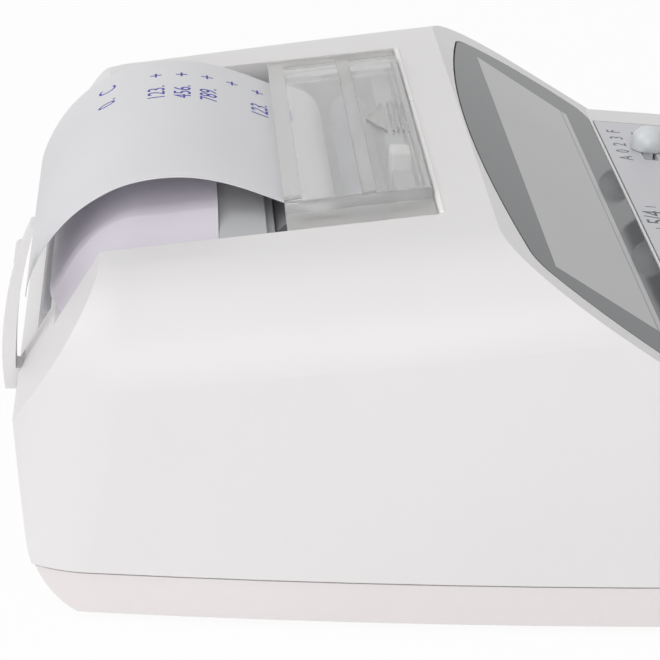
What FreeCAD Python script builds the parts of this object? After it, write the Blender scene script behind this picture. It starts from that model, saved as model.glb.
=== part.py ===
# Desktop printing calculator, millimetres. +Z up, +X to the user's right, -Y toward the user.
# The origin is on the table under the middle of the case.
import math
import os

import FreeCAD
import Part
import Sketcher
from FreeCAD import Placement, Rotation, Vector

SIZES = (
    ("case_half_w", 71.5, "half width of the case at the seam, mid length"),
    ("side_bow", 7.0, "bow of the side outlines"),
    ("case_front_y", 109.2, "distance of the front end from the origin"),
    ("case_rear_y", 113.0, "distance of the untrimmed rear end from the origin"),
    ("end_bow", 1.8, "bow of the front and rear outlines"),
    ("corner_radius", 18.0, "vertical corner radius"),
    ("case_taper", 11.0, "inward lean of the upper walls, degrees"),
    ("base_taper", 4.0, "inward lean of the lower walls, degrees"),
    ("case_bottom_z", 1.0, "underside of the lower case above the table"),
    ("seam_z", 7.7, "seam between lower and upper case"),
    ("seam_gap", 0.35, "step at the seam"),
    ("wall", 2.2, "case wall"),
    ("top_wall", 4.2, "case wall under the printer deck"),
    ("floor_thick", 2.0, "lower case floor"),
    ("shoulder_radius", 16.0, "radius of the top shoulder"),
    ("deck_y", 92.5, "reference point of the printer deck, y"),
    ("deck_z", 46.2, "reference point of the printer deck, z"),
    ("deck_slope", 7.085, "fall of the printer deck to the rear, degrees"),
    ("foot_y", 7.85, "foot of the display slope, y"),
    ("foot_z", 33.35, "foot of the display slope, z"),
    ("display_slope", 32.6, "slope of the display, degrees"),
    ("keys_slope", 4.0, "slope of the keyboard, degrees"),
    ("slant_y", 106.9, "rear belt edge, y"),
    ("slant_z", 25.3, "rear belt edge, z"),
    ("slant_angle", 59.4, "rear slant, degrees from the horizontal"),
    ("undercut_angle", 8.0, "undercut of the rear wall, degrees"),
    ("bay_side", 4.6, "bay wall outside the printer side plates"),
    ("bay_front_y", 46.0, "front edge of the printer bay"),
    ("bay_rear_y", 77.9, "rear edge of the printer bay"),
    ("saddle_depth", 2.8, "depth of the paper guide seat behind the bay"),
    ("guide_sink", 1.6, "depth of the paper guide along its sides"),
    ("guide_crown", 1.0, "rise of the paper guide over the deck, middle"),
    ("guide_low", 9.3, "lower end of the paper guide over the belt edge"),
    ("inlet_rise", 3.9, "paper inlet over the belt edge"),
    ("fit_gap", 0.3, "clearance between set-in panels and the case"),
    ("lens_thick", 1.3, "display lens thickness"),
    ("lens_side", 10.7, "case side to the front corner of the display lens"),
    ("lens_taper", 7.4, "narrowing of the display lens toward its rear corners"),
    ("lens_corner", 3.2, "rounding of the display lens corners"),
    ("lens_bulge", 2.6, "outward bulge of the lens ends"),
    ("lens_high", 35.6, "height of the display lens on the slope, middle"),
    ("lens_high_end", 30.4, "height of the display lens on the slope, ends"),
    ("lcd_side", 21.3, "case side to the display window"),
    ("lcd_low", 6.9, "lower edge of the display window on the slope"),
    ("lcd_high", 26.3, "upper edge of the display window on the slope"),
    ("plate_side", 13.5, "case side to the keyboard plate"),
    ("plate_front", 106.0, "front edge of the keyboard plate, from the display foot"),
    ("plate_rear", 0.6, "rear edge of the keyboard plate, from the display foot"),
    ("plate_thick", 1.0, "keyboard plate thickness"),
    ("ledge", 2.0, "ledge under the edge of the keyboard plate"),
    ("key_margin", 1.6, "keyboard plate side to the key grid"),
    ("key_pitch_y", 17.5, "key pitch along"),
    ("key_space", 4.2, "space between keys across"),
    ("key_d", 11.6, "key depth"),
    ("key_high", 3.6, "key height above the plate"),
    ("key_gap", 0.35, "clearance around a key"),
    ("key_flange", 0.9, "retaining flange of a key"),
    ("key_row_one", 25.0, "first key row from the display foot"),
    ("key_travel", 1.8, "key travel"),
    ("switch_row", 7.9, "slide switch row from the display foot"),
    ("knob_wide", 5.6, "slide switch knob width at its foot"),
    ("knob_high", 4.2, "slide switch knob height"),
    ("board_deep", 9.6, "top of the main board under the plate top"),
    ("board_thick", 1.6, "main board thickness"),
    ("paper_w", 57.5, "paper tape width"),
    ("paper_thick", 0.15, "paper tape thickness"),
    ("platen_y", 64.5, "platen axis, y"),
    ("platen_z", 42.2, "platen axis, z"),
    ("platen_radius", 5.4, "platen radius"),
    ("drum_radius", 5.0, "type drum radius"),
    ("ink_radius", 3.2, "ink roller radius"),
    ("shaft_radius", 1.5, "printer shaft radius"),
    ("running_gap", 0.06, "radial clearance of a running shaft"),
    ("gear_module", 0.55, "gear module"),
    ("gear_thick", 2.4, "gear thickness"),
    ("frame_half_w", 36.2, "half width over the printer side plates"),
    ("frame_thick", 1.2, "printer side plate thickness"),
    ("motor_radius", 6.5, "motor radius"),
    ("arm_side", 0.3, "roll arm outside the printer side plate"),
    ("arm_wide", 4.5, "roll arm width"),
    ("arm_tall", 25.5, "roll arm height"),
    ("arm_back", 1.6, "roll arm hinge axis in front of the belt edge"),
    ("arm_drop", 0.7, "roll arm hinge axis under the belt edge"),
    ("cell_radius", 7.1, "battery cell radius"),
    ("cell_len", 49.6, "battery cell length"),
    ("door_side", 4.4, "battery door past the length of one cell, each side"),
    ("door_front_y", 1.0, "front edge of the battery door"),
    ("door_spare", 5.6, "battery door depth past two cells"),
    ("jack_side", 25.5, "case side to the adaptor jack"),
    ("jack_rise", 7.2, "adaptor jack over the seam"),
    ("jack_radius", 5.5, "adaptor jack recess radius"),
)

X_AXIS = Vector(1, 0, 0)
Y_AXIS = Vector(0, 1, 0)

doc = FreeCAD.newDocument("printing_calculator")
sheet = doc.addObject("Spreadsheet::Sheet", "dims")
for row, (alias, amount, note) in enumerate(SIZES, start=1):
    sheet.set("A%d" % row, note)
    sheet.set("B%d" % row, str(amount))
    sheet.setAlias("B%d" % row, alias)
doc.recompute()

nodes = []


def val(alias):
    return float(sheet.get(alias))


def tan(alias):
    return math.tan(math.radians(val(alias)))


def bind(item, prop, text):
    item.setExpression(prop, text)


def new_body(name):
    return doc.addObject("PartDesign::Body", name)


def keep(item, label):
    item.Label = label
    nodes.append(item)
    return item


def sketch_on(body, role, name, offset=None):
    plane = [f for f in body.Origin.OriginFeatures if f.Role == role][0]
    sketch = body.newObject("Sketcher::SketchObject", name)
    sketch.AttachmentSupport = [(plane, "")]
    sketch.MapMode = "FlatFace"
    if offset is not None:
        sketch.AttachmentOffset = offset
    return sketch


def add_poly(sketch, points):
    first = sketch.GeometryCount
    count = len(points)
    for index in range(count):
        ax, ay = points[index]
        bx, by = points[(index + 1) % count]
        sketch.addGeometry(Part.LineSegment(Vector(ax, ay, 0), Vector(bx, by, 0)))
    for index in range(count):
        follow = first + (index + 1) % count
        sketch.addConstraint(Sketcher.Constraint("Coincident", first + index, 2, follow, 1))
    return sketch


def add_rect(sketch, x0, x1, y0, y1):
    return add_poly(sketch, [(x0, y0), (x1, y0), (x1, y1), (x0, y1)])


def add_circle(sketch, x, y, radius):
    sketch.addGeometry(Part.Circle(Vector(x, y, 0), Vector(0, 0, 1), radius))
    return sketch


def pad(body, sketch, name, length, reverse=False, taper=None, middle=False):
    item = body.newObject("PartDesign::Pad", name)
    item.Profile = sketch
    bind(item, "Length", length)
    item.Reversed = reverse
    item.Midplane = middle
    if taper:
        bind(item, "TaperAngle", taper)
    body.Tip = item
    return item


def pocket(body, sketch, name, length, reverse=False, middle=False):
    item = body.newObject("PartDesign::Pocket", name)
    item.Profile = sketch
    bind(item, "Length", length)
    item.Reversed = reverse
    item.Midplane = middle
    body.Tip = item
    return item


def fillet(body, base, radius, choose):
    names = []
    if base.Shape.isNull() or "Touched" in base.State:
        doc.recompute()
    for index, edge in enumerate(base.Shape.Edges, start=1):
        if choose(edge.BoundBox):
            names.append("Edge%d" % index)
    item = body.newObject("PartDesign::Fillet", "fillet")
    item.Base = (base, names)
    bind(item, "Radius", radius)
    body.Tip = item
    return item


def at_z(z):
    return Placement(Vector(0, 0, z), Rotation())


def tilted(y, z, angle):
    return Placement(Vector(0, y, z), Rotation(X_AXIS, angle))


def make_box(label, length, width, height, corner):
    item = doc.addObject("Part::Box", label)
    bind(item, "Length", length)
    bind(item, "Width", width)
    bind(item, "Height", height)
    item.Placement = Placement(corner, Rotation())
    return item


def make_rod(label, radius, length, start):
    item = doc.addObject("Part::Cylinder", label)
    bind(item, "Radius", radius)
    bind(item, "Height", length)
    item.Placement = Placement(start, Rotation(Y_AXIS, 90))
    return item


def fuse(label, pieces):
    item = doc.addObject("Part::MultiFuse", label)
    item.Shapes = pieces
    return item


def cut(label, base, tool):
    item = doc.addObject("Part::Cut", label)
    item.Base = base
    item.Tool = tool
    return item


def deck_height(y):
    return val("deck_z") - tan("deck_slope") * (y - val("deck_y"))


def outline(sketch, inset, rear=None):
    half = val("case_half_w") - inset
    end = val("case_half_w") - val("side_bow") - inset
    front = -(val("case_front_y") - inset)
    if rear is None:
        rear = val("case_rear_y") - inset
    bow = val("end_bow")
    corners = [Vector(end, front + bow, 0), Vector(end, rear - bow, 0),
               Vector(-end, rear - bow, 0), Vector(-end, front + bow, 0)]
    middles = [Vector(half, 0, 0), Vector(0, rear, 0), Vector(-half, 0, 0), Vector(0, front, 0)]
    for index in range(4):
        arc = Part.Arc(corners[index], middles[index], corners[(index + 1) % 4])
        sketch.addGeometry(arc)
    for index in range(4):
        sketch.addConstraint(Sketcher.Constraint("Coincident", index, 2, (index + 1) % 4, 1))
    return sketch


def rear_profile(body, name, inset):
    # region behind the slanted and undercut rear faces
    y0 = val("slant_y") - inset
    z0 = val("slant_z") - inset * 0.4
    rise = tan("slant_angle")
    lean = tan("undercut_angle")
    top_y = y0 - (70.0 - z0) / rise
    bend_z = val("seam_z") + 3.3
    bend_y = y0 - (z0 - bend_z) * lean
    low_z = val("case_bottom_z") - 0.4
    foot = Vector(bend_y - 7.6, low_z, 0)
    spots = [Vector(140.0, low_z, 0), Vector(140.0, 70.0, 0), Vector(top_y, 70.0, 0), Vector(y0, z0, 0),
             Vector(bend_y, bend_z, 0)]
    sketch = sketch_on(body, "YZ_Plane", name)
    sketch.addGeometry(Part.LineSegment(foot, spots[0]))
    for index in range(4):
        sketch.addGeometry(Part.LineSegment(spots[index], spots[index + 1]))
        sketch.addConstraint(Sketcher.Constraint("Coincident", index, 2, index + 1, 1))
    sketch.addGeometry(Part.Arc(foot, Vector(bend_y - 2.3, low_z + 4.3, 0), spots[4]))
    sketch.addConstraint(Sketcher.Constraint("Coincident", 4, 2, 5, 2))
    sketch.addConstraint(Sketcher.Constraint("Coincident", 5, 1, 0, 1))
    return sketch


def case_block(body, inset, drop, front_drop, base_z):
    # tapered block with rounded corners, then the deck, the shoulder, the front and the rear
    sketch = outline(sketch_on(body, "XY_Plane", "plan", at_z(base_z)), inset)
    block = pad(body, sketch, "block", "75 mm", taper="-dims.case_taper * 1 deg")
    corner = fillet(body, block, "(dims.corner_radius - %.2f) * 1 mm" % inset, lambda b: b.ZLength > 50)
    sketch = sketch_on(body, "YZ_Plane", "deck_side")
    add_poly(sketch, [(-150.0, deck_height(-150.0) - drop), (150.0, deck_height(150.0) - drop),
                      (150.0, 120.0), (-150.0, 120.0)])
    deck = pocket(body, sketch, "deck", "200 mm", middle=True)
    low = deck_height(115.0) - drop - 6.0
    fillet(body, deck, "(dims.shoulder_radius - %.2f) * 1 mm" % (0.5 * drop), lambda b: b.ZMin > low)
    foot_y = val("foot_y")
    foot_z = val("foot_z") - front_drop
    far_y = foot_y + 51.0
    near_y = -130.0
    sketch = sketch_on(body, "YZ_Plane", "front_side")
    add_poly(sketch, [(far_y, foot_z + (far_y - foot_y) * tan("display_slope")), (foot_y, foot_z),
                      (near_y, foot_z - (foot_y - near_y) * tan("keys_slope")), (near_y, 120.0),
                      (far_y, 120.0)])
    pocket(body, sketch, "front", "200 mm", middle=True)
    return pocket(body, rear_profile(body, "rear_side", 0.7 * drop), "rear", "200 mm", middle=True)


def display_frame(deep):
    angle = math.radians(val("display_slope"))
    return tilted(val("foot_y") + deep * math.sin(angle), val("foot_z") - deep * math.cos(angle),
                  val("display_slope"))


def keys_frame():
    return tilted(val("foot_y"), val("foot_z"), val("keys_slope"))


def keys_plane(deep):
    return keys_frame().multiply(at_z(-deep))


def deck_frame(deep):
    return tilted(val("bay_front_y"), deck_height(val("bay_front_y")), -val("deck_slope")).multiply(at_z(-deep))


def rounded_loop(sketch, curves, trim):
    # closed loop of curves, each cut back by trim and joined by corner arcs
    total = 2 * len(curves)
    for index, curve in enumerate(curves):
        after = curves[(index + 1) % len(curves)]
        start = curve.parameterAtDistance(trim, curve.FirstParameter)
        end = curve.parameterAtDistance(-trim, curve.LastParameter)
        first = curve.value(start)
        last = curve.value(end)
        if isinstance(curve, Part.LineSegment):
            sketch.addGeometry(Part.LineSegment(first, last))
        else:
            sketch.addGeometry(Part.Arc(first, curve.value(0.5 * (start + end)), last))
        corner = curve.value(curve.LastParameter)
        onward = after.value(after.parameterAtDistance(trim, after.FirstParameter))
        inward = 0.5 * (last + onward) - corner
        half_angle = math.acos(min(1.0, inward.Length / trim))
        reach = trim * math.tan(half_angle) * (1.0 / math.sin(half_angle) - 1.0)
        sketch.addGeometry(Part.Arc(last, corner + inward.normalize() * reach, onward))
    for index in range(total):
        sketch.addConstraint(Sketcher.Constraint("Coincident", index, 2, (index + 1) % total, 1))
    return sketch


def lens_outline(sketch, grow):
    front = lens_half + grow
    rear = front - val("lens_taper")
    high = val("lens_high_end") + grow
    low = 0.5 - grow
    side = 0.5 * (front + rear) + val("lens_bulge")
    corners = [Vector(-front, low, 0), Vector(front, low, 0), Vector(rear, high, 0), Vector(-rear, high, 0)]
    waist = 0.5 * (low + high)
    curves = [
        Part.LineSegment(corners[0], corners[1]),
        Part.Arc(corners[1], Vector(side, waist, 0), corners[2]),
        Part.Arc(corners[2], Vector(0, val("lens_high") + grow, 0), corners[3]),
        Part.Arc(corners[3], Vector(-side, waist, 0), corners[0]),
    ]
    return rounded_loop(sketch, curves, val("lens_corner"))


# widths that follow from the driving sizes
bay_half = val("frame_half_w") + val("bay_side")
lens_half = val("case_half_w") - val("lens_side")
lcd_half = val("case_half_w") - val("lcd_side")
plate_half = val("case_half_w") - val("plate_side")
pitch_x = (plate_half - val("key_margin")) / 3.0
pitch_y = val("key_pitch_y")
key_wide = pitch_x - val("key_space")
jack_x = val("case_half_w") - val("jack_side")
jack_z = val("seam_z") + val("jack_rise")

# upper case
outer = new_body("upper_outer")
case_block(outer, 0.0, 0.0, 0.0, val("seam_z"))
edge_top = fillet(outer, outer.Tip, "2.4 mm", lambda b: b.ZMin > 20 and b.YMax < 7.9 and b.ZLength > 0.02)

sketch = lens_outline(sketch_on(outer, "XY_Plane", "lens_seat", display_frame(0.0)), val("fit_gap"))
pocket(outer, sketch, "lens_recess", "dims.lens_thick * 1 mm")
sketch = sketch_on(outer, "XY_Plane", "lcd_hole", display_frame(0.0))
add_rect(sketch, -lcd_half - 1, lcd_half + 1, val("lcd_low") - 1, val("lcd_high") + 1)
pocket(outer, sketch, "lcd_window", "8 mm")

gap = val("fit_gap")
sketch = sketch_on(outer, "XY_Plane", "plate_seat", keys_frame())
add_rect(sketch, -plate_half - gap, plate_half + gap,
         -val("plate_front") - gap, -val("plate_rear") + gap)
pocket(outer, sketch, "plate_recess", "dims.plate_thick * 1 mm")
ledge = val("ledge")
sketch = sketch_on(outer, "XY_Plane", "keys_hole", keys_frame())
add_rect(sketch, -plate_half + ledge, plate_half - ledge,
         -val("plate_front") + ledge, -val("plate_rear") - ledge)
pocket(outer, sketch, "keys_opening", "9 mm")

sketch = sketch_on(outer, "XY_Plane", "bay_plan", at_z(60.0))
add_rect(sketch, -bay_half, bay_half, val("bay_front_y"), val("bay_rear_y"))
pocket(outer, sketch, "bay", "40 mm")

belt_y = val("slant_y")
belt_z = val("slant_z")
rise = tan("slant_angle")
fall = math.radians(val("deck_slope"))
lean = math.radians(val("slant_angle"))
crest_y = belt_y - (deck_height(belt_y - 12.2) - belt_z) / rise
low_z = belt_z + val("inlet_rise")


def guide_profile(sink, round_off):
    # deck, corner and slant, sunk by the given depth, from the bay to the lower end
    first = val("bay_rear_y") - 0.3
    turn_y = crest_y - round_off
    end_z = belt_z + val("guide_low")
    shift = sink / math.sin(lean)
    spots = []
    for share in (0.0, 0.35, 0.7, 1.0):
        y = first + share * (turn_y - first)
        spots.append((y, deck_height(y) - sink))
    for share in (0.0, 0.4, 0.7, 1.0):
        start_z = belt_z + (belt_y - crest_y) * rise - round_off * rise * 0.75
        z = start_z + share * (end_z - start_z)
        spots.append((belt_y - shift - (z - belt_z) / rise, z))
    return spots


sketch = sketch_on(outer, "YZ_Plane", "saddle_side")
seat = guide_profile(val("saddle_depth"), 2.4)
add_poly(sketch, [(seat[0][0] - 0.7, seat[0][1])] + seat + [(125.0, seat[-1][1]), (125.0, 75.0),
                                                          (seat[0][0] - 0.7, 75.0)])
pocket(outer, sketch, "saddle", "2 * (dims.frame_half_w + dims.bay_side) * 1 mm", middle=True)

sketch = sketch_on(outer, "XZ_Plane", "jack_side", at_z(-130.0))
add_circle(sketch, -jack_x, jack_z, val("jack_radius"))
pocket(outer, sketch, "jack_hole", "40 mm", reverse=True)
arm_x = -val("frame_half_w") - val("arm_side")
axle_y = belt_y - val("arm_back")
axle_z = belt_z - val("arm_drop")
sketch = sketch_on(outer, "YZ_Plane", "arm_side", at_z(arm_x - 0.6))
add_rect(sketch, axle_y - 8.0, axle_y + 12.0, axle_z - 4.4, axle_z + 2.0)
pocket(outer, sketch, "arm_slot", "(dims.arm_wide + 1.2) * 1 mm", reverse=True)

# inlet slot for the paper in the rear slant
sketch = sketch_on(outer, "YZ_Plane", "inlet_side")
add_rect(sketch, belt_y - 12.0, belt_y + 9.0, low_z + 0.6, low_z + 4.0)
pocket(outer, sketch, "inlet", "(dims.paper_w + 5) * 1 mm", middle=True)

cavity = new_body("upper_cavity")
FRONT_WALL = 2.7
case_block(cavity, val("wall"), val("top_wall"), FRONT_WALL, val("seam_z") - 0.01)
shell = cut("upper_shell", outer, cavity)


def upright(label, radius, height, where):
    item = doc.addObject("Part::Cylinder", label)
    bind(item, "Radius", radius)
    bind(item, "Height", height)
    item.Placement = Placement(where, Rotation())
    return item


def stack(label, pieces):
    # separate solids kept as one group
    item = doc.addObject("Part::Compound", label)
    item.Links = pieces
    return keep(item, label)


# screw posts and hinge lugs join the shell, then they are bored
SCREW_FRONT = 100.3
SCREW_REAR = 86.0
SCREWS = []
screw_x = val("case_half_w") - 21.5
for x in (-screw_x, screw_x):
    front_top = val("foot_z") - (val("foot_y") + SCREW_FRONT) * tan("keys_slope") - 1.3
    SCREWS.append((x, -SCREW_FRONT, front_top))
    SCREWS.append((x, SCREW_REAR, deck_height(SCREW_REAR) - 4.0))
POST_Z = val("case_bottom_z") + 4.05
posts = []
bores = []
for x, y, top in SCREWS:
    posts.append(upright("post", "2.9 mm", "%.3f mm" % (top - POST_Z), Vector(x, y, POST_Z)))
    bores.append(upright("post_bore", "1.23 mm", "13 mm", Vector(x, y, POST_Z - 1.0)))
for start in (arm_x - 3.6, arm_x + val("arm_wide") + 0.6):
    posts.append(make_rod("lug", "1.6 mm", "3 mm", Vector(start, axle_y, axle_z)))
bores.append(make_rod("lug_bore", "(0.8 + dims.running_gap) * 1 mm", "(dims.arm_wide + 5.2) * 1 mm",
                      Vector(arm_x - 2.6, axle_y, axle_z)))
upper = cut("upper_case", fuse("upper_joined", [shell] + posts), fuse("upper_bores", bores))
keep(upper, "upper_case")

# lower case with the battery box
low_top = val("seam_z") - val("seam_gap")
floor_z = val("case_bottom_z") + val("floor_thick")


def lower_block(body, inset, base_z, rear=None):
    sketch = outline(sketch_on(body, "XY_Plane", "plan", at_z(low_top)), inset, rear)
    block = pad(body, sketch, "block", "%.3f mm" % (low_top - base_z), reverse=True,
                taper="-dims.base_taper * 1 deg")
    return fillet(body, block, "(dims.corner_radius - %.2f) * 1 mm" % inset,
                  lambda b: b.ZLength > 3 and b.XLength < 3)


lower_outer = new_body("lower_outer")
lower_block(lower_outer, 0.3, val("case_bottom_z"))
pocket(lower_outer, rear_profile(lower_outer, "rear_side", 0.4), "rear", "200 mm", middle=True)
lower_cavity = new_body("lower_cavity")
rear_foot = val("slant_y") - (val("slant_z") - val("case_bottom_z")) * tan("undercut_angle")
lower_block(lower_cavity, 0.3 + val("wall"), floor_z, rear_foot - val("wall") - 4.2)
lower_shell = cut("lower_shell", lower_outer, lower_cavity)

door_w = val("cell_len") + val("door_side")
door_y0 = val("door_front_y")
door_y1 = door_y0 + 4 * val("cell_radius") + val("door_spare")
DOOR_W = "2 * (dims.cell_len + dims.door_side + %.1f) * 1 mm"
DOOR_D = "(4 * dims.cell_radius + dims.door_spare + %.1f) * 1 mm"
BOX_WALL = 2.4
LEDGE_IN = 1.2
adds = [lower_shell]
adds.append(make_box("battery_box", DOOR_W % BOX_WALL, DOOR_D % (2 * BOX_WALL),
                     "(2 * dims.cell_radius + 3.9) * 1 mm",
                     Vector(-door_w - BOX_WALL, door_y0 - BOX_WALL, floor_z - 0.5)))
takes = []
takes.append(make_box("battery_room", DOOR_W % -LEDGE_IN, DOOR_D % (-2 * LEDGE_IN),
                      "(2 * dims.cell_radius + 1.4) * 1 mm",
                      Vector(-door_w + LEDGE_IN, door_y0 + LEDGE_IN, floor_z - 0.2)))
takes.append(make_box("door_seat", DOOR_W % gap, DOOR_D % (2 * gap),
                      "(dims.floor_thick + 1) * 1 mm",
                      Vector(-door_w - gap, door_y0 - gap, val("case_bottom_z") - 1.0)))
for x, y, top in SCREWS:
    adds.append(upright("boss", "4.4 mm", "%.3f mm" % (POST_Z - 0.03 - floor_z + 0.5), Vector(x, y, floor_z - 0.5)))
    takes.append(upright("head_hole", "3 mm", "(dims.case_bottom_z + 2.2) * 1 mm", Vector(x, y, 0)))
    takes.append(upright("shank_hole", "1.4 mm", "9 mm", Vector(x, y, 0)))
lower = cut("lower_case", fuse("lower_joined", adds), fuse("lower_holes", takes))
keep(lower, "lower_case")

door = make_box("battery_door", DOOR_W % 0.0, DOOR_D % 0.0, "(dims.floor_thick - 0.02) * 1 mm",
                Vector(-door_w, door_y0, val("case_bottom_z")))
keep(door, "battery_door")

cell_z = floor_z + val("cell_radius")
cell_long = val("cell_len")
MID_CLIP = 1.4
cells = []
for x in (MID_CLIP, -MID_CLIP - cell_long):
    for aside in (-val("cell_radius") - 0.3, val("cell_radius") + 0.3):
        mid_y = 0.5 * (door_y0 + door_y1) + aside
        can = make_rod("cell_can", "(dims.cell_radius - 0.05) * 1 mm", "(dims.cell_len - 1.4) * 1 mm",
                       Vector(x, mid_y, cell_z))
        nub = make_rod("cell_nub", "2.7 mm", "1.4 mm", Vector(x + cell_long - 1.4, mid_y, cell_z))
        cells.append(fuse("cell", [can, nub]))
stack("battery_cells", cells)

end_clip = door_w - LEDGE_IN - MID_CLIP - cell_long - 0.05
clips = []
for x, thick in ((-MID_CLIP, 2 * MID_CLIP), (MID_CLIP + cell_long, end_clip),
                 (-MID_CLIP - cell_long - end_clip, end_clip)):
    clips.append(make_box("clip", "%.3f mm" % thick, DOOR_D % -4.0, "(dims.cell_radius + 1.9) * 1 mm",
                          Vector(x, door_y0 + 2.0, cell_z - 4.5)))
stack("battery_contacts", clips)

stack("rubber_feet", [upright("foot", "5 mm", "dims.case_bottom_z * 1 mm", Vector(x, y, 0))
                      for x in (10.0 - screw_x, screw_x - 10.0) for y in (-92.0, 92.0)])
screws = []
for x, y, top in SCREWS:
    head = upright("screw_head", "2.8 mm", "1.6 mm", Vector(x, y, val("case_bottom_z") + 0.58))
    shank = upright("screw_shank", "1.2 mm", "13 mm", Vector(x, y, val("case_bottom_z") + 2.0))
    screws.append(fuse("screw", [head, shank]))
stack("case_screws", screws)

# display
lens = new_body("display_lens")
sketch = lens_outline(sketch_on(lens, "XY_Plane", "lens_plan"), 0.0)
pad(lens, sketch, "lens_pad", "dims.lens_thick * 1 mm", reverse=True)
lens.Placement = display_frame(0.0)
keep(lens, "display_lens")
lcd = new_body("lcd_panel")
sketch = sketch_on(lcd, "XY_Plane", "lcd_plan")
add_rect(sketch, -lcd_half - 2.6, lcd_half + 2.6, val("lcd_low") - 2.6, val("lcd_high") + 2.6)
pad(lcd, sketch, "lcd_pad", "2.4 mm", reverse=True)
lcd.Placement = display_frame(FRONT_WALL * math.cos(math.radians(val("display_slope"))) + 0.02)
keep(lcd, "lcd_panel")

# keyboard
KEY_NAMES = (
    ("feed", "rate", "percent", "sign", "step_back", "clear_entry"),
    ("memory_total", "7", "8", "9", "divide", "clear_all"),
    ("memory_recall", "4", "5", "6", "multiply", "equals"),
    ("memory_minus", "1", "2", "3", "minus", "plus"),
    ("memory_plus", "0", "00", "point", "subtotal"),
)
# name, middle of the slot, half travel, rest position from the middle
SWITCHES = (("decimal_switch_knob", plate_half - 12.5, 5.0, -1.5), ("rounding_switch_knob", 8.5, 4.0, 0.0),
            ("print_switch_knob", -28.5, 4.0, 0.0))
row_one = val("key_row_one")
keys = []
for row, names in enumerate(KEY_NAMES):
    for column, name in enumerate(names):
        x = (column - 2.5) * pitch_x
        y = -row_one - row * pitch_y
        tall = 0.0
        if name == "plus":
            tall = pitch_y
            y -= 0.5 * pitch_y
        keys.append(("key_" + name, x, y, tall))

plate = new_body("keyboard_plate")
sketch = sketch_on(plate, "XY_Plane", "plate_plan")
add_rect(sketch, -plate_half, plate_half, -val("plate_front"), -val("plate_rear"))
for name, x, y, tall in keys:
    wide = 0.5 * key_wide + val("key_gap")
    deep = 0.5 * (val("key_d") + tall) + val("key_gap")
    add_rect(sketch, x - wide, x + wide, y - deep, y + deep)
for name, x, half, rest in SWITCHES:
    add_rect(sketch, x - half - 2.4, x + half + 2.4, -val("switch_row") - 1.3, -val("switch_row") + 1.3)
pad(plate, sketch, "plate_pad", "dims.plate_thick * 1 mm", reverse=True)
PLATE_POSTS = [(side_of * pitch_x, -row_one - row * pitch_y) for side_of in (-1, 1) for row in (0.5, 3.5)]
sketch = sketch_on(plate, "XY_Plane", "post_plan", at_z(-val("plate_thick") + 0.1))
for x, y in PLATE_POSTS:
    add_circle(sketch, x, y, 1.1)
pad(plate, sketch, "posts", "(dims.board_deep - dims.plate_thick + 0.08) * 1 mm", reverse=True)
plate.Placement = keys_frame()
keep(plate, "keyboard_plate")

board = new_body("main_board")
sketch = sketch_on(board, "XY_Plane", "board_plan")
add_rect(sketch, 5.0 - plate_half, plate_half - 5.0, -row_one - 4.5 * pitch_y, -5.0)
pad(board, sketch, "board_pad", "dims.board_thick * 1 mm", reverse=True)
board.Placement = keys_plane(val("board_deep"))
keep(board, "main_board")

mat = new_body("key_mat")
sketch = sketch_on(mat, "XY_Plane", "mat_plan")
add_rect(sketch, 6.0 - plate_half, plate_half - 6.0, -row_one - 4.45 * pitch_y, -row_one + 0.55 * pitch_y)
for x, y in PLATE_POSTS:
    add_circle(sketch, x, y, 1.6)
pad(mat, sketch, "mat_pad", "1 mm")
sketch = sketch_on(mat, "XY_Plane", "dome_plan", at_z(0.9))
for name, x, y, tall in keys:
    add_circle(sketch, x, y, 3.4)
pad(mat, sketch, "domes", "0.7 mm")
mat.Placement = keys_plane(val("board_deep"))
keep(mat, "key_mat")

FLANGE_TOP = val("plate_thick") + 0.05
FLANGE_LOW = FLANGE_TOP + 1.3
caps = []
for name, x, y, tall in keys:
    cap = new_body(name)
    wide = 0.5 * key_wide
    deep = 0.5 * (val("key_d") + tall)
    rim = val("key_flange")
    sketch = sketch_on(cap, "XY_Plane", "flange_plan", at_z(-FLANGE_LOW))
    add_rect(sketch, -wide - rim, wide + rim, -deep - rim, deep + rim)
    pad(cap, sketch, "flange", "1.3 mm")
    sketch = sketch_on(cap, "XY_Plane", "cap_plan", at_z(-FLANGE_TOP - 0.2))
    add_rect(sketch, -wide, wide, -deep, deep)
    pad(cap, sketch, "cap", "(dims.key_high + dims.plate_thick + 0.25) * 1 mm", taper="-6 deg")
    caps.append(cap)
doc.recompute()
cap_high = val("key_high") - 0.05
for cap, (name, x, y, tall) in zip(caps, keys):
    fillet(cap, cap.Tip, "0.9 mm", lambda b: b.ZMax > cap_high)
    sketch = sketch_on(cap, "YZ_Plane", "dish_side")
    bowl = 1.2 * (val("key_d") + tall)
    add_circle(sketch, 0.0, val("key_high") + bowl - 0.45, bowl)
    pocket(cap, sketch, "dish", "%.3f mm" % (key_wide - 3.2), middle=True)
    sketch = sketch_on(cap, "XY_Plane", "stem_plan", at_z(-FLANGE_LOW + 0.1))
    add_circle(sketch, 0.0, 0.0, 2.0)
    pad(cap, sketch, "stem", "3.2 mm", reverse=True)
    cap.Placement = keys_frame().multiply(Placement(Vector(x, y, 0), Rotation()))
    keep(cap, name)

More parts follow.
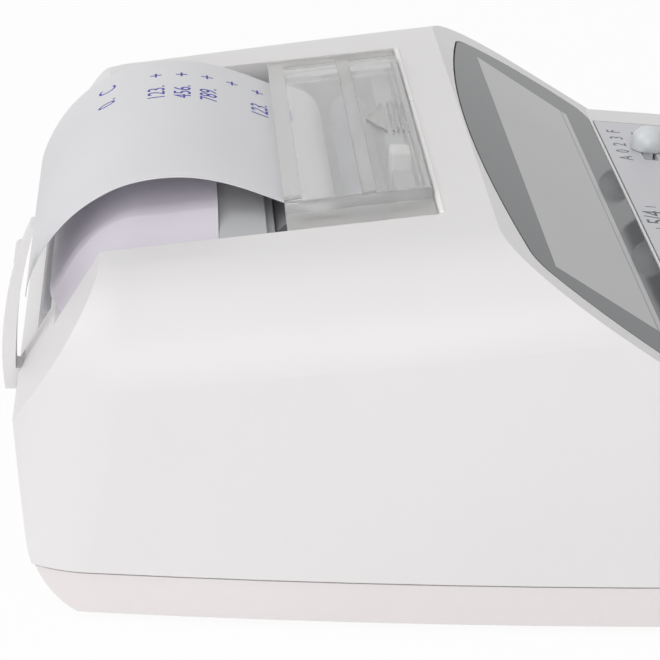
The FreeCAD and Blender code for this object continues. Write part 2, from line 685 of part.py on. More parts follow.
for name, x, half, rest in SWITCHES:
    knob = new_body(name)
    sketch = sketch_on(knob, "YZ_Plane", "dome_side")
    wide = 0.5 * val("knob_wide")
    tall = val("knob_high") - 0.15
    ball = 0.5 * (wide * wide + tall * tall) / tall
    middle = Vector(0, val("knob_high") - ball, 0)
    turn = 0.25 * math.pi
    side = middle + Vector(ball * math.cos(turn), ball * math.sin(turn), 0)
    foot = Vector(0, 0.15, 0)
    rim = Vector(wide, 0.15, 0)
    crown = Vector(0, val("knob_high"), 0)
    sketch.addGeometry(Part.LineSegment(foot, rim))
    sketch.addGeometry(Part.Arc(rim, side, crown))
    sketch.addGeometry(Part.LineSegment(crown, foot))
    for index in range(3):
        sketch.addConstraint(Sketcher.Constraint("Coincident", index, 2, (index + 1) % 3, 1))
    dome = knob.newObject("PartDesign::Revolution", "dome")
    dome.Profile = sketch
    dome.ReferenceAxis = (sketch, ["V_Axis"])
    dome.Angle = 360.0
    sketch = sketch_on(knob, "XY_Plane", "neck_plan", at_z(0.3))
    add_rect(sketch, -2.0, 2.0, -0.9, 0.9)
    pad(knob, sketch, "neck", "2.6 mm", reverse=True)
    sketch = sketch_on(knob, "XY_Plane", "foot_plan", at_z(-val("plate_thick") - 0.15))
    add_rect(sketch, -3.2, 3.2, -2.4, 2.4)
    pad(knob, sketch, "foot", "1.2 mm", reverse=True)
    knob.Placement = keys_frame().multiply(Placement(Vector(x + rest, -val("switch_row"), 0), Rotation()))
    keep(knob, name)

# printer mechanism: motor pinion, idler, type drum and platen in one gear train
TEETH = {"pinion": 10, "idler": 22, "drum": 22, "platen": 18}


def pitch_radius(name):
    return 0.5 * val("gear_module") * TEETH[name]


def step_from(centre, reach, angle):
    return (centre[0] + reach * math.cos(angle), centre[1] + reach * math.sin(angle))


platen_at = (val("platen_y"), val("platen_z"))
lean_drum = math.radians(210.6)
drum_at = step_from(platen_at, pitch_radius("drum") + pitch_radius("platen"), lean_drum)
lean_idler = math.radians(227.0)
idler_at = step_from(drum_at, pitch_radius("drum") + pitch_radius("idler"), lean_idler)
lean_pinion = math.radians(297.0)
motor_at = step_from(idler_at, pitch_radius("idler") + pitch_radius("pinion"), lean_pinion)
ink_at = step_from(drum_at, val("drum_radius") + val("ink_radius") + 0.3, math.radians(93.0))
half_frame = val("frame_half_w")
gear_x = half_frame + 0.4


def rod_at(label, radius, length, x, centre):
    return make_rod(label, radius, length, Vector(x, centre[0], centre[1]))


def make_gear(name, teeth, centre, phase):
    module = val("gear_module")
    pitch = 0.5 * module * teeth
    turn_step = 2 * math.pi / teeth
    points = []
    for index in range(teeth):
        for turn_by, reach_by in ((-0.31, -1.15), (-0.10, 0.75), (0.10, 0.75), (0.31, -1.15)):
            spot = step_from(centre, pitch + reach_by * module, phase + (index + turn_by) * turn_step)
            points.append(Vector(gear_x, spot[0], spot[1]))
    item = doc.addObject("Part::Feature", name)
    item.Shape = Part.Face(Part.makePolygon(points + [points[0]])).extrude(Vector(val("gear_thick"), 0, 0))
    return item


def meshed(first, first_phase, second, lean):
    # phase of the second gear, which lies from the first one along lean
    turns = (lean - first_phase) * TEETH[first] / (2 * math.pi)
    return lean + math.pi + (0.5 + turns) * 2 * math.pi / TEETH[second]


drum_phase = 0.0
platen_phase = meshed("drum", drum_phase, "platen", lean_drum - math.pi)
idler_phase = meshed("drum", drum_phase, "idler", lean_idler)
pinion_phase = meshed("idler", idler_phase, "pinion", lean_pinion)


def roller(label, radius, length, centre, gear):
    core = rod_at(label + "_core", radius, "%.2f mm" % length, -0.5 * length, centre)
    shaft = rod_at(label + "_shaft", "dims.shaft_radius * 1 mm",
                   "(2 * dims.frame_half_w + dims.gear_thick + 1.4) * 1 mm", -half_frame - 0.6, centre)
    return keep(fuse(label, [core, shaft, gear]), label)


roller("platen_roller", "dims.platen_radius * 1 mm", 62.0, platen_at,
       make_gear("platen_gear", TEETH["platen"], platen_at, platen_phase))
roller("type_drum", "dims.drum_radius * 1 mm", 56.0, drum_at,
       make_gear("drum_gear", TEETH["drum"], drum_at, drum_phase))
ink_core = rod_at("ink_core", "dims.ink_radius * 1 mm", "48 mm", -24.0, ink_at)
ink_shaft = rod_at("ink_shaft", "1 mm", "(2 * dims.frame_half_w + 0.6) * 1 mm", -half_frame - 0.3, ink_at)
keep(fuse("ink_roller", [ink_core, ink_shaft]), "ink_roller")

STUD = 1.2
idler = make_gear("idler_blank", TEETH["idler"], idler_at, idler_phase)
idler_bore = rod_at("idler_bore", "(1.2 + dims.running_gap) * 1 mm", "6 mm", gear_x - 1.0, idler_at)
keep(cut("idler_gear", idler, idler_bore), "idler_gear")
pinion = make_gear("pinion_blank", TEETH["pinion"], motor_at, pinion_phase)
pinion_shaft = rod_at("pinion_shaft", "0.8 mm", "9 mm", gear_x + val("gear_thick") - 9.0, motor_at)
keep(fuse("motor_pinion", [pinion, pinion_shaft]), "motor_pinion")
MOTOR_LONG = 21.0
can_x = half_frame - val("frame_thick") - MOTOR_LONG
can = rod_at("motor_can", "dims.motor_radius * 1 mm", "%.2f mm" % MOTOR_LONG, can_x, motor_at)
can_bore = rod_at("motor_bore", "(0.8 + dims.running_gap) * 1 mm", "12 mm", can_x + 10.0, motor_at)
keep(cut("feed_motor", can, can_bore), "feed_motor")

frame = new_body("printer_frame")
DECK_GAP = 3.4
y_low = val("bay_front_y") + 1.2
y_high = val("platen_y") + 8.5
y_nose = idler_at[0] - 3.2
nose_z = deck_height(y_low) - val("top_wall") - 4.0
sketch = sketch_on(frame, "YZ_Plane", "plate_side")
add_poly(sketch, [(y_nose, floor_z), (y_high, floor_z), (y_high, deck_height(y_high) - DECK_GAP),
                  (y_low, deck_height(y_low) - DECK_GAP), (y_low, nose_z), (y_nose, nose_z)])
pad(frame, sketch, "plates", "2 * dims.frame_half_w * 1 mm", middle=True)
sketch = sketch_on(frame, "YZ_Plane", "room_side")
add_rect(sketch, y_nose - 1.0, y_high + 1.0, floor_z + 2.0, 60.0)
pocket(frame, sketch, "room", "2 * (dims.frame_half_w - dims.frame_thick) * 1 mm", middle=True)
running = val("running_gap")
sketch = sketch_on(frame, "YZ_Plane", "bearing_side")
add_circle(sketch, platen_at[0], platen_at[1], val("shaft_radius") + running)
add_circle(sketch, drum_at[0], drum_at[1], val("shaft_radius") + running)
add_circle(sketch, motor_at[0], motor_at[1], 1.4)
pocket(frame, sketch, "bearings", "(2 * dims.frame_half_w + 2) * 1 mm", middle=True)
sketch = sketch_on(frame, "YZ_Plane", "ink_side")
add_rect(sketch, ink_at[0] - 1.0 - running, ink_at[0] + 1.0 + running, ink_at[1] - 1.0 - running, 60.0)
pocket(frame, sketch, "ink_slots", "(2 * dims.frame_half_w + 2) * 1 mm", middle=True)
sketch = sketch_on(frame, "YZ_Plane", "bar_side")
bar_z = deck_height(y_low) - DECK_GAP
add_rect(sketch, y_low, y_low + 3.0, bar_z - 4.0, bar_z - 1.0)
pad(frame, sketch, "front_bar", "2 * (dims.frame_half_w - 0.2) * 1 mm", middle=True)
sketch = sketch_on(frame, "YZ_Plane", "stud_side", at_z(half_frame - 0.5))
add_circle(sketch, idler_at[0], idler_at[1], STUD)
pad(frame, sketch, "stud", "(dims.gear_thick + 1.2) * 1 mm")
keep(frame, "printer_frame")

# paper tape: in through the slot, round the platen, up behind the tear bar and over the saddle
wrap = val("platen_radius") + 0.06
path = [(belt_y - 3.2, low_z + 2.2), (belt_y - 11.0, low_z + 2.0), (belt_y - 23.0, low_z + 2.8),
        (platen_at[0] + 8.5, low_z + 5.4)]
for degrees in (268, 245, 220, 195, 170, 145, 122, 112):
    path.append(step_from(platen_at, wrap, math.radians(degrees)))
ARCH = ((-26.5, 2.25), (-23.6, 3.3), (-18.1, 5.3), (-14.7, 6.2), (-9.3, 6.8), (-4.9, 6.4), (-0.5, 5.2),
        (3.1, 3.3), (6.8, 0.4), (9.7, -3.0), (11.6, -6.2), (13.0, -9.6), (13.5, -12.2))
for along, up in ARCH:
    path.append((val("deck_y") + along, val("deck_z") + up))
inner = Part.BSplineCurve()
inner.interpolate([Vector(0, y, z) for y, z in path])
STEPS = 160
outside = []
for index in range(STEPS + 1):
    spot = inner.FirstParameter + (inner.LastParameter - inner.FirstParameter) * index / STEPS
    heading = inner.tangent(spot)[0]
    outside.append(inner.value(spot) + Vector(0, -heading.z, heading.y) * val("paper_thick"))
outer_curve = Part.BSplineCurve()
outer_curve.interpolate(outside)
first_edge = Part.makeLine(outside[0], inner.value(inner.FirstParameter))
last_edge = Part.makeLine(inner.value(inner.LastParameter), outside[-1])
wire = Part.Wire([first_edge, inner.toShape(), last_edge, outer_curve.toShape()])
tape = doc.addObject("Part::Feature", "paper_tape")
tape.Shape = Part.Face(wire).extrude(Vector(val("paper_w"), 0, 0))
tape.Placement = Placement(Vector(-0.5 * val("paper_w"), 0, 0), Rotation())
keep(tape, "paper_tape")

# paper guide behind the bay: sunk along its sides, crowned under the tape
seat_line = guide_profile(val("saddle_depth") - 0.03, 2.4)
side_line = guide_profile(val("guide_sink"), 2.0)
crown_line = guide_profile(-val("guide_crown"), 4.2)
guide_half = bay_half - gap
sections = []
for share, blend in ((-1.0, 0.0), (-0.86, 0.45), (-0.74, 0.9), (-0.66, 1.0), (0.66, 1.0), (0.74, 0.9), (0.86, 0.45),
                     (1.0, 0.0)):
    x = share * guide_half
    top = [Vector(x, a[0] + blend * (b[0] - a[0]), a[1] + blend * (b[1] - a[1]))
           for a, b in zip(side_line, crown_line)]
    under = [Vector(x, a[0], a[1]) for a in seat_line]
    curve = Part.BSplineCurve()
    curve.interpolate(top)
    edges = [Part.makeLine(under[0], top[0]), curve.toShape(), Part.makeLine(top[-1], under[-1])]
    for index in range(len(under) - 1, 0, -1):
        edges.append(Part.makeLine(under[index], under[index - 1]))
    section = doc.addObject("Part::Feature", "guide_section")
    section.Shape = Part.Wire(edges)
    sections.append(section)
guide = doc.addObject("Part::Loft", "paper_guide")
guide.Sections = sections
guide.Solid = True
guide.Ruled = True
keep(guide, "paper_guide")

# clear printer cover, in the frame of the deck
cover = new_body("printer_cover")
edge_x = bay_half - gap
PANEL = half_frame - 3.2
END_V = 22.0
sketch = sketch_on(cover, "XZ_Plane", "cover_section", at_z(-gap))
add_poly(sketch, [(-edge_x, -0.2), (-PANEL - 0.6, -0.2), (-PANEL, 1.3), (PANEL, 1.3), (PANEL + 0.6, -0.2),
                  (edge_x, -0.2), (edge_x, -1.4), (PANEL - 0.8, -1.4), (PANEL - 1.3, 0.3),
                  (-PANEL + 1.3, 0.3), (-PANEL + 0.8, -1.4), (-edge_x, -1.4)])
pad(cover, sketch, "cover_skin", "%.2f mm" % (END_V - gap), reverse=True)
sketch = sketch_on(cover, "XY_Plane", "rib_plan", at_z(1.2))
add_rect(sketch, 1.2 - PANEL, PANEL - 1.2, END_V - 2.6, END_V)
add_rect(sketch, -PANEL, PANEL, 8.4, 10.4)
pad(cover, sketch, "ribs", "0.6 mm")
sketch = sketch_on(cover, "XY_Plane", "grip_plan", at_z(1.2))
add_poly(sketch, [(-7.0, 4.6), (7.0, 4.6), (0.0, 7.6)])
for index in range(4):
    low_v = 1.3 + 0.75 * index
    add_rect(sketch, -7.0, 7.0, low_v, low_v + 0.35)
pad(cover, sketch, "grip", "0.5 mm")
skirt = DECK_GAP * math.cos(math.radians(val("deck_slope"))) - 0.03
sketch = sketch_on(cover, "XY_Plane", "skirt_plan", at_z(-1.3))
for low_x, high_x in ((-half_frame, -half_frame + val("frame_thick")), (half_frame - val("frame_thick"), half_frame)):
    add_rect(sketch, low_x, high_x, 2.4, 7.0)
    add_rect(sketch, low_x, high_x, 13.0, 19.0)
pad(cover, sketch, "skirts", "%.3f mm" % (skirt - 1.3), reverse=True)
sketch = sketch_on(cover, "XY_Plane", "front_plan", at_z(1.0))
add_rect(sketch, -PANEL, PANEL, gap, gap + 1.2)
pad(cover, sketch, "front_wall", "2.3 mm", reverse=True)
cover.Placement = deck_frame(0.0)
keep(cover, "printer_cover")

# roll arm, folded up against the rear
arm = new_body("roll_arm")
tip_z = axle_z + val("arm_tall") - 2.2
low_arm = axle_z - 2.1
mid_z = 0.5 * (tip_z + low_arm) + 0.8
sketch = sketch_on(arm, "YZ_Plane", "arm_profile", at_z(arm_x))
outer_top = Vector(belt_y - 2.1, tip_z, 0)
outer_low = Vector(belt_y + 2.0, low_arm, 0)
inner_top = Vector(belt_y - 2.8, tip_z + 0.1, 0)
inner_low = Vector(belt_y + 0.3, low_arm, 0)
sketch.addGeometry(Part.Arc(outer_top, Vector(belt_y + 1.6, mid_z, 0), outer_low))
sketch.addGeometry(Part.LineSegment(outer_low, inner_low))
sketch.addGeometry(Part.Arc(inner_low, Vector(belt_y - 0.25, mid_z, 0), inner_top))
sketch.addGeometry(Part.LineSegment(inner_top, outer_top))
pad(arm, sketch, "arm_plate", "dims.arm_wide * 1 mm")
sketch = sketch_on(arm, "YZ_Plane", "foot_profile", at_z(arm_x))
add_rect(sketch, axle_y, belt_y + 1.0, axle_z - 1.2, axle_z + 1.2)
pad(arm, sketch, "foot", "dims.arm_wide * 1 mm")
for name, radius, start, length in (("barrel", 1.4, 0.0, "dims.arm_wide * 1 mm"),
                                    ("pins", 0.8, -2.4, "(dims.arm_wide + 4.8) * 1 mm")):
    sketch = sketch_on(arm, "YZ_Plane", name + "_side", at_z(arm_x + start))
    add_circle(sketch, axle_y, axle_z, radius)
    pad(arm, sketch, name, length)
sketch = sketch_on(arm, "YZ_Plane", "spindle_side", at_z(arm_x + val("arm_wide") - 0.5))
add_circle(sketch, belt_y - 0.3, tip_z - 6.8, 0.9)
pad(arm, sketch, "spindle", "7 mm")
keep(arm, "roll_arm")

# adaptor jack
jack = new_body("adaptor_jack")
jack_y = val("slant_y") - (val("slant_z") - jack_z) * tan("undercut_angle")
sketch = sketch_on(jack, "XZ_Plane", "jack_body")
add_circle(sketch, 0.0, 0.0, val("jack_radius") - gap)
pad(jack, sketch, "barrel", "10 mm")
sketch = sketch_on(jack, "XZ_Plane", "jack_flange", at_z(2.5))
add_circle(sketch, 0.0, 0.0, val("jack_radius") + 0.9)
pad(jack, sketch, "flange", "2 mm")
sketch = sketch_on(jack, "XZ_Plane", "jack_bore")
add_circle(sketch, 0.0, 0.0, 2.9)
add_circle(sketch, 0.0, 0.0, 1.0)
pocket(jack, sketch, "bore", "8 mm", reverse=True)
jack.Placement = Placement(Vector(-jack_x, jack_y - 1.4, jack_z), Rotation())
keep(jack, "adaptor_jack")

doc.recompute()
for item in doc.Objects:
    if "Invalid" in item.State or "Error" in item.State:
        raise RuntimeError("%s did not recompute" % item.Name)
os.makedirs("parts", exist_ok=True)
for item in nodes:
    if item.Shape.isNull() or not item.Shape.isValid():
        raise RuntimeError("%s has no valid shape" % item.Label)
    item.Shape.exportStep("parts/%s.step" % item.Label)
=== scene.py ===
import math

import bpy
from bpy.props import FloatProperty, FloatVectorProperty, PointerProperty
from mathutils import Matrix, Vector


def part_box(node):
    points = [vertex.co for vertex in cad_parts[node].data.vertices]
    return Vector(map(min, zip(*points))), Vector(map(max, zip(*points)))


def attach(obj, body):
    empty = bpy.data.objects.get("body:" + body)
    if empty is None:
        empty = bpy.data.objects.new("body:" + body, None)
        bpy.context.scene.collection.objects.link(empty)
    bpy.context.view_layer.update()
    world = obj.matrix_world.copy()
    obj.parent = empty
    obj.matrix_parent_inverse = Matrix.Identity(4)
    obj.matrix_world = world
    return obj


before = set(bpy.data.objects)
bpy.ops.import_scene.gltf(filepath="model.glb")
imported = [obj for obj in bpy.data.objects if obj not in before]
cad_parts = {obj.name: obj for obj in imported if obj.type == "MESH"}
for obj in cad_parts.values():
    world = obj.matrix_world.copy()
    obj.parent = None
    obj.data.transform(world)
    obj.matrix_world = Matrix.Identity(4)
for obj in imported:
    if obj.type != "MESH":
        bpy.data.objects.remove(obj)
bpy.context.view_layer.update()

bl_info = {
    "name": "Desk printing calculator",
    "version": (1, 0, 0),
    "blender": (4, 5, 0),
    "location": "View3D > Sidebar > Calculator",
    "description": "Finishes, printing, legends and studio for a desk printing calculator",
    "category": "Object",
}

MM = 0.001

KEY_LEGENDS = {
    "key_feed": "FEED", "key_rate": "RATE", "key_percent": "%", "key_sign": "+/-", "key_step_back": ">",
    "key_clear_entry": "C", "key_memory_total": "MT", "key_7": "7", "key_8": "8", "key_9": "9",
    "key_divide": "÷", "key_clear_all": "CA", "key_memory_recall": "MR", "key_4": "4", "key_5": "5",
    "key_6": "6", "key_multiply": "×", "key_equals": "=", "key_memory_minus": "M-", "key_1": "1",
    "key_2": "2", "key_3": "3", "key_minus": "-", "key_plus": "+", "key_memory_plus": "M+", "key_0": "0",
    "key_00": "00", "key_point": ".", "key_subtotal": "S",
}
LONG_LEGEND = 3         # letters from which a key legend is set small
LONG_LEGEND_SHARE = 0.62
# switch scales, in mm: place across, letter height, text
SCALES = (
    (52.7, 3.4, "F"), (49.1, 3.4, "3"), (45.5, 3.4, "2"), (41.9, 3.4, "0"), (38.3, 3.4, "A"),
    (13.6, 2.6, "I"), (8.5, 5.0, "5/4"), (3.4, 2.6, "I"),
    (-23.4, 2.6, "I"), (-28.5, 4.4, "P"), (-33.6, 2.6, "0"),
)
# printed lines: place along in mm, amount, sign
TAPE_LINES = (
    (94.6, "0.", "C"), (86.6, "123.", "+"), (82.4, "456.", "+"), (78.2, "789.", "+"), (74.1, "", "+"),
    (69.9, "123.", "+"), (65.7, "456.", "+"),
)

# lettering: height it is laid down from, welding distance, steps of a curve, film thickness
PLATE_LIFT = 2 * MM
TAPE_LIFT = 5 * MM
WELD = 0.005 * MM
CURVE_STEPS = 3
FILM = 0.02 * MM

# blocks: steps of a rounded edge, angle up to which faces shade as one
EDGE_STEPS = 4
SMOOTH_ANGLE = math.radians(40)

# blocks, in mm: size, edge radius, middle
# lip of the printer bay: a rounded edge bar whose lighter finish is a painted highlight
BAY_LIP = (80.6, 0.8, 0.55), 0.25, (0.0, -0.45, 0.0)
PAPER_SHELF = (80.6, 7.1, 1.0), 0.3, (0.0, 74.0, 46.9)
SHELF_STEP = (80.6, 1.6, 1.0), 0.3, (0.0, 69.95, 45.6)
INK_POST = (4.4, 3.2, 6.8), 0.6, (-9.0, 48.9, 46.9)
RIDGE_SIZE, RIDGE_EDGE = (18.0, 0.8, 0.6), 0.25
RIDGE_COUNT, RIDGE_START, RIDGE_PITCH, RIDGE_Z = 5, 25.0, 1.7, 0.95
# crosses on the screws, near black as painted shade in their cross recesses
CROSS_ARMS = {"long": (2.6, 0.55, 0.1), "wide": (0.55, 2.6, 0.1)}
CROSS_EDGE, CROSS_Z = 0.03, 1.58
SCREW_SPOTS = ((-50.0, -100.3), (-50.0, 86.0), (50.0, -100.3), (50.0, 86.0))

# finishes: a colour, or the name of a colour property, and values of the moulded skin
FINISHES = {
    "case_satin": dict(colour="case_white", shade=0.97, tone=14.0, smooth=0.36, rough=0.44, bump=0.06),
    "base_satin": dict(colour="base_white", shade=0.97, tone=14.0, smooth=0.40, rough=0.48, bump=0.06),
    # the lip is coloured lighter than the case: a painted highlight along the rounded front edge of the
    # printer bay
    "lip_white": dict(colour=(0.90, 0.89, 0.88), shade=0.98, tone=14.0, smooth=0.22, rough=0.30, bump=0.02),
    "jack_black": dict(colour=(0.02, 0.02, 0.022), shade=0.70, smooth=0.25, rough=0.40),
    "lcd_back": dict(colour=(0.20, 0.22, 0.20), shade=0.80),
    "plate_silver": dict(colour="plate_silver", shade=0.95, tone=22.0, grain=3200.0, smooth=0.36, rough=0.44,
                         bump=0.04),
    "key_satin": dict(colour="key_grey", shade=0.80, tone=60.0, smooth=0.34, rough=0.46, bump=0.08),
    "legend_white": dict(colour=(0.82, 0.82, 0.82), shade=0.95, smooth=0.40, rough=0.50),
    "legend_dark": dict(colour=(0.08, 0.09, 0.11), shade=0.90, smooth=0.40, rough=0.50),
    "knob_milky": dict(colour=(0.74, 0.76, 0.78), shade=0.92, tone=120.0, smooth=0.18, rough=0.28, bump=0.02),
    "mat_grey": dict(colour=(0.40, 0.40, 0.38), shade=0.90, smooth=0.60, rough=0.75),
    "board_green": dict(colour=(0.03, 0.16, 0.07), shade=0.80, tone=200.0),
    "frame_grey": dict(colour=(0.28, 0.285, 0.295), shade=0.88, tone=80.0, smooth=0.40, rough=0.60),
    "shelf_grey": dict(colour=(0.52, 0.525, 0.535), shade=0.94, tone=40.0, smooth=0.40, rough=0.55),
    "post_white": dict(colour=(0.86, 0.86, 0.84), shade=0.96, tone=60.0, smooth=0.35, rough=0.45),
    "platen_rubber": dict(colour=(0.26, 0.26, 0.27), shade=0.85, smooth=0.60, rough=0.75),
    "drum_grey": dict(colour=(0.24, 0.25, 0.27), shade=0.70, tone=300.0, bump=0.40),
    "ink_foam": dict(colour=(0.20, 0.21, 0.26), shade=0.80, tone=160.0, smooth=0.70, rough=0.90, bump=0.50),
    "gear_white": dict(colour=(0.74, 0.74, 0.71), shade=0.94, smooth=0.30, rough=0.40),
    "motor_steel": dict(colour=(0.55, 0.55, 0.55), shade=0.85, smooth=0.25, rough=0.40, metal=1.0),
    # guide: satin plastic whose colour is a violet grey painted shade from the paper tape above it
    "guide_satin": dict(colour="guide_violet", shade=0.96, tone=20.0, smooth=0.34, rough=0.44, bump=0.04),
    "tape_paper": dict(colour="paper_white", shade=0.97, tone=40.0, grain=1500.0, smooth=0.80, rough=0.90,
                       bump=0.08),
    "tape_ink": dict(colour="ink_violet", shade=0.75, tone=900.0, smooth=0.70, rough=0.85),
    "foot_rubber": dict(colour=(0.05, 0.05, 0.05), shade=0.80, smooth=0.70, rough=0.85),
    "screw_zinc": dict(colour=(0.50, 0.50, 0.51), shade=0.80, smooth=0.30, rough=0.45, metal=1.0),
    "cell_wrap": dict(colour=(0.08, 0.09, 0.12), shade=0.80, smooth=0.25, rough=0.35),
    "contact_plate": dict(colour=(0.60, 0.60, 0.58), shade=0.90, smooth=0.20, rough=0.35, metal=1.0),
    "door_ridge": dict(colour="base_white", shade=0.96, tone=14.0, smooth=0.40, rough=0.48),
    # near black crosses: painted shade in the cross recesses of the screws
    "cross_dark": dict(colour=(0.04, 0.04, 0.042), shade=0.80, smooth=0.40, rough=0.55),
}
TONE_SCALE = 30.0           # tone changes in a metre, where a finish gives none
GRAIN_SCALE = 2200.0        # grains in a metre, where a finish gives none
TONE_BAND = 0.35, 0.68      # noise values spread over the whole change of tone
TONE_DETAIL, GRAIN_DETAIL = 3.0, 2.0
GRAIN_DEPTH = 0.2 * MM
PAPER_THROUGH = 0.18        # share of light that the paper lets through

# display: gloss of the lens, and the line along the foot of the window
LENS_SPECULAR = 0.05
WINDOW_SHADE = 0.94
LINE_RISE, LINE_HALF, LINE_SHADE = 1.3 * MM, 0.18 * MM, 0.6

# clear cover: heights of its frosted ribs over the deck, half width between its sides
RIB_MIDDLE, RIB_HALF = 2.2 * MM, 0.75 * MM
COVER_HALF = 32.6 * MM
COVER_TINT, COVER_SHADE = (0.96, 0.96, 0.96), 0.96875
FROST_TINT, FROST_ROUGH = (1.0, 0.99, 0.98), 0.45
COVER_IOR, COVER_TRANSMISSION = 1.49, 0.84

# studio, in metres: lamps are place, width and power
WHITE = (1.0, 1.0, 1.0)
FLOOR_SIZE = 6.0
FLOOR_GREY = (0.9, 0.9, 0.9)
FLOOR_GLOW = 0.94
WORLD_LEVEL = 0.5
LAMPS = {"lamp_top": ((-0.1, 0.8, 0.9), 0.9, 4.0), "lamp_side": ((-1.1, 0.25, 0.5), 0.9, 5.0)}
LAMP_AIM = (0.0, 0.03, 0.02)

# camera: turn to the rear, rise, roll, place, focal length in picture widths
CAMERA_TURN, CAMERA_RISE, CAMERA_ROLL = math.radians(4.07), math.radians(23.0), math.radians(1.71)
CAMERA_SPOT = (-0.3892, 0.0861, 0.1821)
CAMERA_FOCAL = 2600.2 / 660.0
SENSOR_WIDTH = 36.0
CLIP_START = 0.01


def length(name, description, millimetres):
    return FloatProperty(name=name, description=description, unit="LENGTH", default=millimetres * MM)


def angle(name, description, degrees):
    return FloatProperty(name=name, description=description, subtype="ANGLE", default=math.radians(degrees))


def tint(name, description, default):
    return FloatVectorProperty(name=name, description=description, subtype="COLOR", size=3, default=default)


class CalculatorSizes(bpy.types.PropertyGroup):
    """Sizes of the printed and drawn details"""

    display_slope: angle("Display slope", "Slope of the display", 32.6)
    keys_slope: angle("Keyboard slope", "Slope of the keyboard", 4.0)
    foot_y: length("Display foot, along", "Where the display meets the keyboard", 7.85)
    foot_z: length("Display foot, up", "Height where the display meets the keyboard", 33.35)
    window_half: length("Window half width", "Half width of the display window", 50.2)
    window_low: length("Window low edge", "Lower edge of the display window on the slope", 6.9)
    window_high: length("Window high edge", "Upper edge of the display window on the slope", 26.6)
    key_legend: length("Key legend", "Letter size on the keys", 6.0)
    scale_row: length("Scale row", "Row of the switch scales, from the display foot", -3.3)
    tape_letter: length("Tape letter", "Letter size on the paper", 4.0)
    amount_end: length("Amount end", "Right end of the printed amounts", 15.4)
    sign_place: length("Sign place", "Column of the printed signs", 21.0)
    bay_y: length("Bay front, along", "Front edge of the printer bay", 46.0)
    bay_z: length("Bay front, up", "Height of the front edge of the printer bay", 51.98)
    deck_slope: angle("Deck slope", "Fall of the printer deck", 7.085)


class CalculatorColours(bpy.types.PropertyGroup):
    """Colours of the finishes; the guide's colour holds painted shade"""

    case_white: tint("Case", "Upper case and roll arm", (0.80, 0.785, 0.785))
    base_white: tint("Base", "Lower case and battery door", (0.84, 0.795, 0.795))
    lens_grey: tint("Lens", "Printed border of the display lens", (0.14, 0.147, 0.152))
    window_grey: tint("Window", "Display window, switched off", (0.50, 0.505, 0.50))
    plate_silver: tint("Plate", "Keyboard plate", (0.62, 0.62, 0.65))
    key_grey: tint("Keys", "Key caps", (0.055, 0.062, 0.066))
    paper_white: tint("Paper", "Paper tape", (0.90, 0.90, 0.92))
    ink_violet: tint("Ink", "Printed lines", (0.07, 0.06, 0.42))
    # painted shade: a violet grey for the shade and tinted light under the paper tape, on a white guide
    guide_violet: tint("Guide", "Paper guide", (0.74, 0.70, 0.77))


def sizes():
    return bpy.context.scene.calculator_sizes


def colours():
    return bpy.context.scene.calculator_colours


def metres(values):
    return tuple(v * MM for v in values)


def slope_frame(y, z, slope):
    """Frame on a slope across the machine, from a point on its middle line"""
    return Matrix.Translation((0, y, z)) @ Matrix.Rotation(slope, 4, "X")


def keys_frame():
    s = sizes()
    return slope_frame(s.foot_y, s.foot_z, s.keys_slope)


def display_frame():
    s = sizes()
    return slope_frame(s.foot_y, s.foot_z, s.display_slope)


def deck_frame():
    s = sizes()
    return slope_frame(s.bay_y, s.bay_z, -s.deck_slope)


def deeper(colour, share):
    return tuple(c * share for c in colour)


def rgba(colour):
    return (colour[0], colour[1], colour[2], 1.0)


def feed(tree, source, socket):
    """Link a socket, or set a plain value"""
    if isinstance(source, bpy.types.NodeSocket):
        tree.links.new(source, socket)
    else:
        socket.default_value = source


def reckoned(tree, operation, *sources):
    """Result of a math node"""
    node = tree.nodes.new("ShaderNodeMath")
    node.operation = operation
    for source, socket in zip(sources, node.inputs):
        feed(tree, source, socket)
    return node.outputs["Value"]


def spread(tree, source, **limits):
    """Source spread from its From range to its To range"""
    node = tree.nodes.new("ShaderNodeMapRange")
    tree.links.new(source, node.inputs["Value"])
    for label, limit in limits.items():
        feed(tree, limit, node.inputs[label.replace("_", " ").title()])
    return node.outputs["Result"]


def mixed(tree, mask, first, second):
    """Colour from first to second by the mask"""
    node = tree.nodes.new("ShaderNodeMix")
    node.data_type = "RGBA"
    for label, source in (("Factor", mask), ("A", first), ("B", second)):
        feed(tree, source, node.inputs[label])
    return node.outputs["Result"]


def mixed_shader(tree, share, first, second):
    """Shader from first to second by the share"""
    node = tree.nodes.new("ShaderNodeMixShader")
    for source, socket in zip((share, first, second), node.inputs):
        feed(tree, source, socket)
    return node.outputs["Shader"]


def noise(tree, place, scale, detail):
    node = tree.nodes.new("ShaderNodeTexNoise")
    node.inputs["Detail"].default_value = detail
    tree.links.new(place, node.inputs["Vector"])
    tree.links.new(scale, node.inputs["Scale"])
    return node.outputs["Fac"]


def local_axes(tree, place):
    """Separate coordinates in the frame given by place"""
    back = place.inverted()
    coords = tree.nodes.new("ShaderNodeTexCoord")
    local = tree.nodes.new("ShaderNodeMapping")
    local.inputs["Rotation"].default_value = back.to_euler()
    local.inputs["Location"].default_value = back.to_translation()
    tree.links.new(coords.outputs["Object"], local.inputs["Vector"])
    parts = tree.nodes.new("ShaderNodeSeparateXYZ")
    tree.links.new(local.outputs["Vector"], parts.inputs["Vector"])
    return parts.outputs


def within(tree, source, middle, half):
    """1 where the source lies inside the band"""
    return reckoned(tree, "COMPARE", source, middle, half)


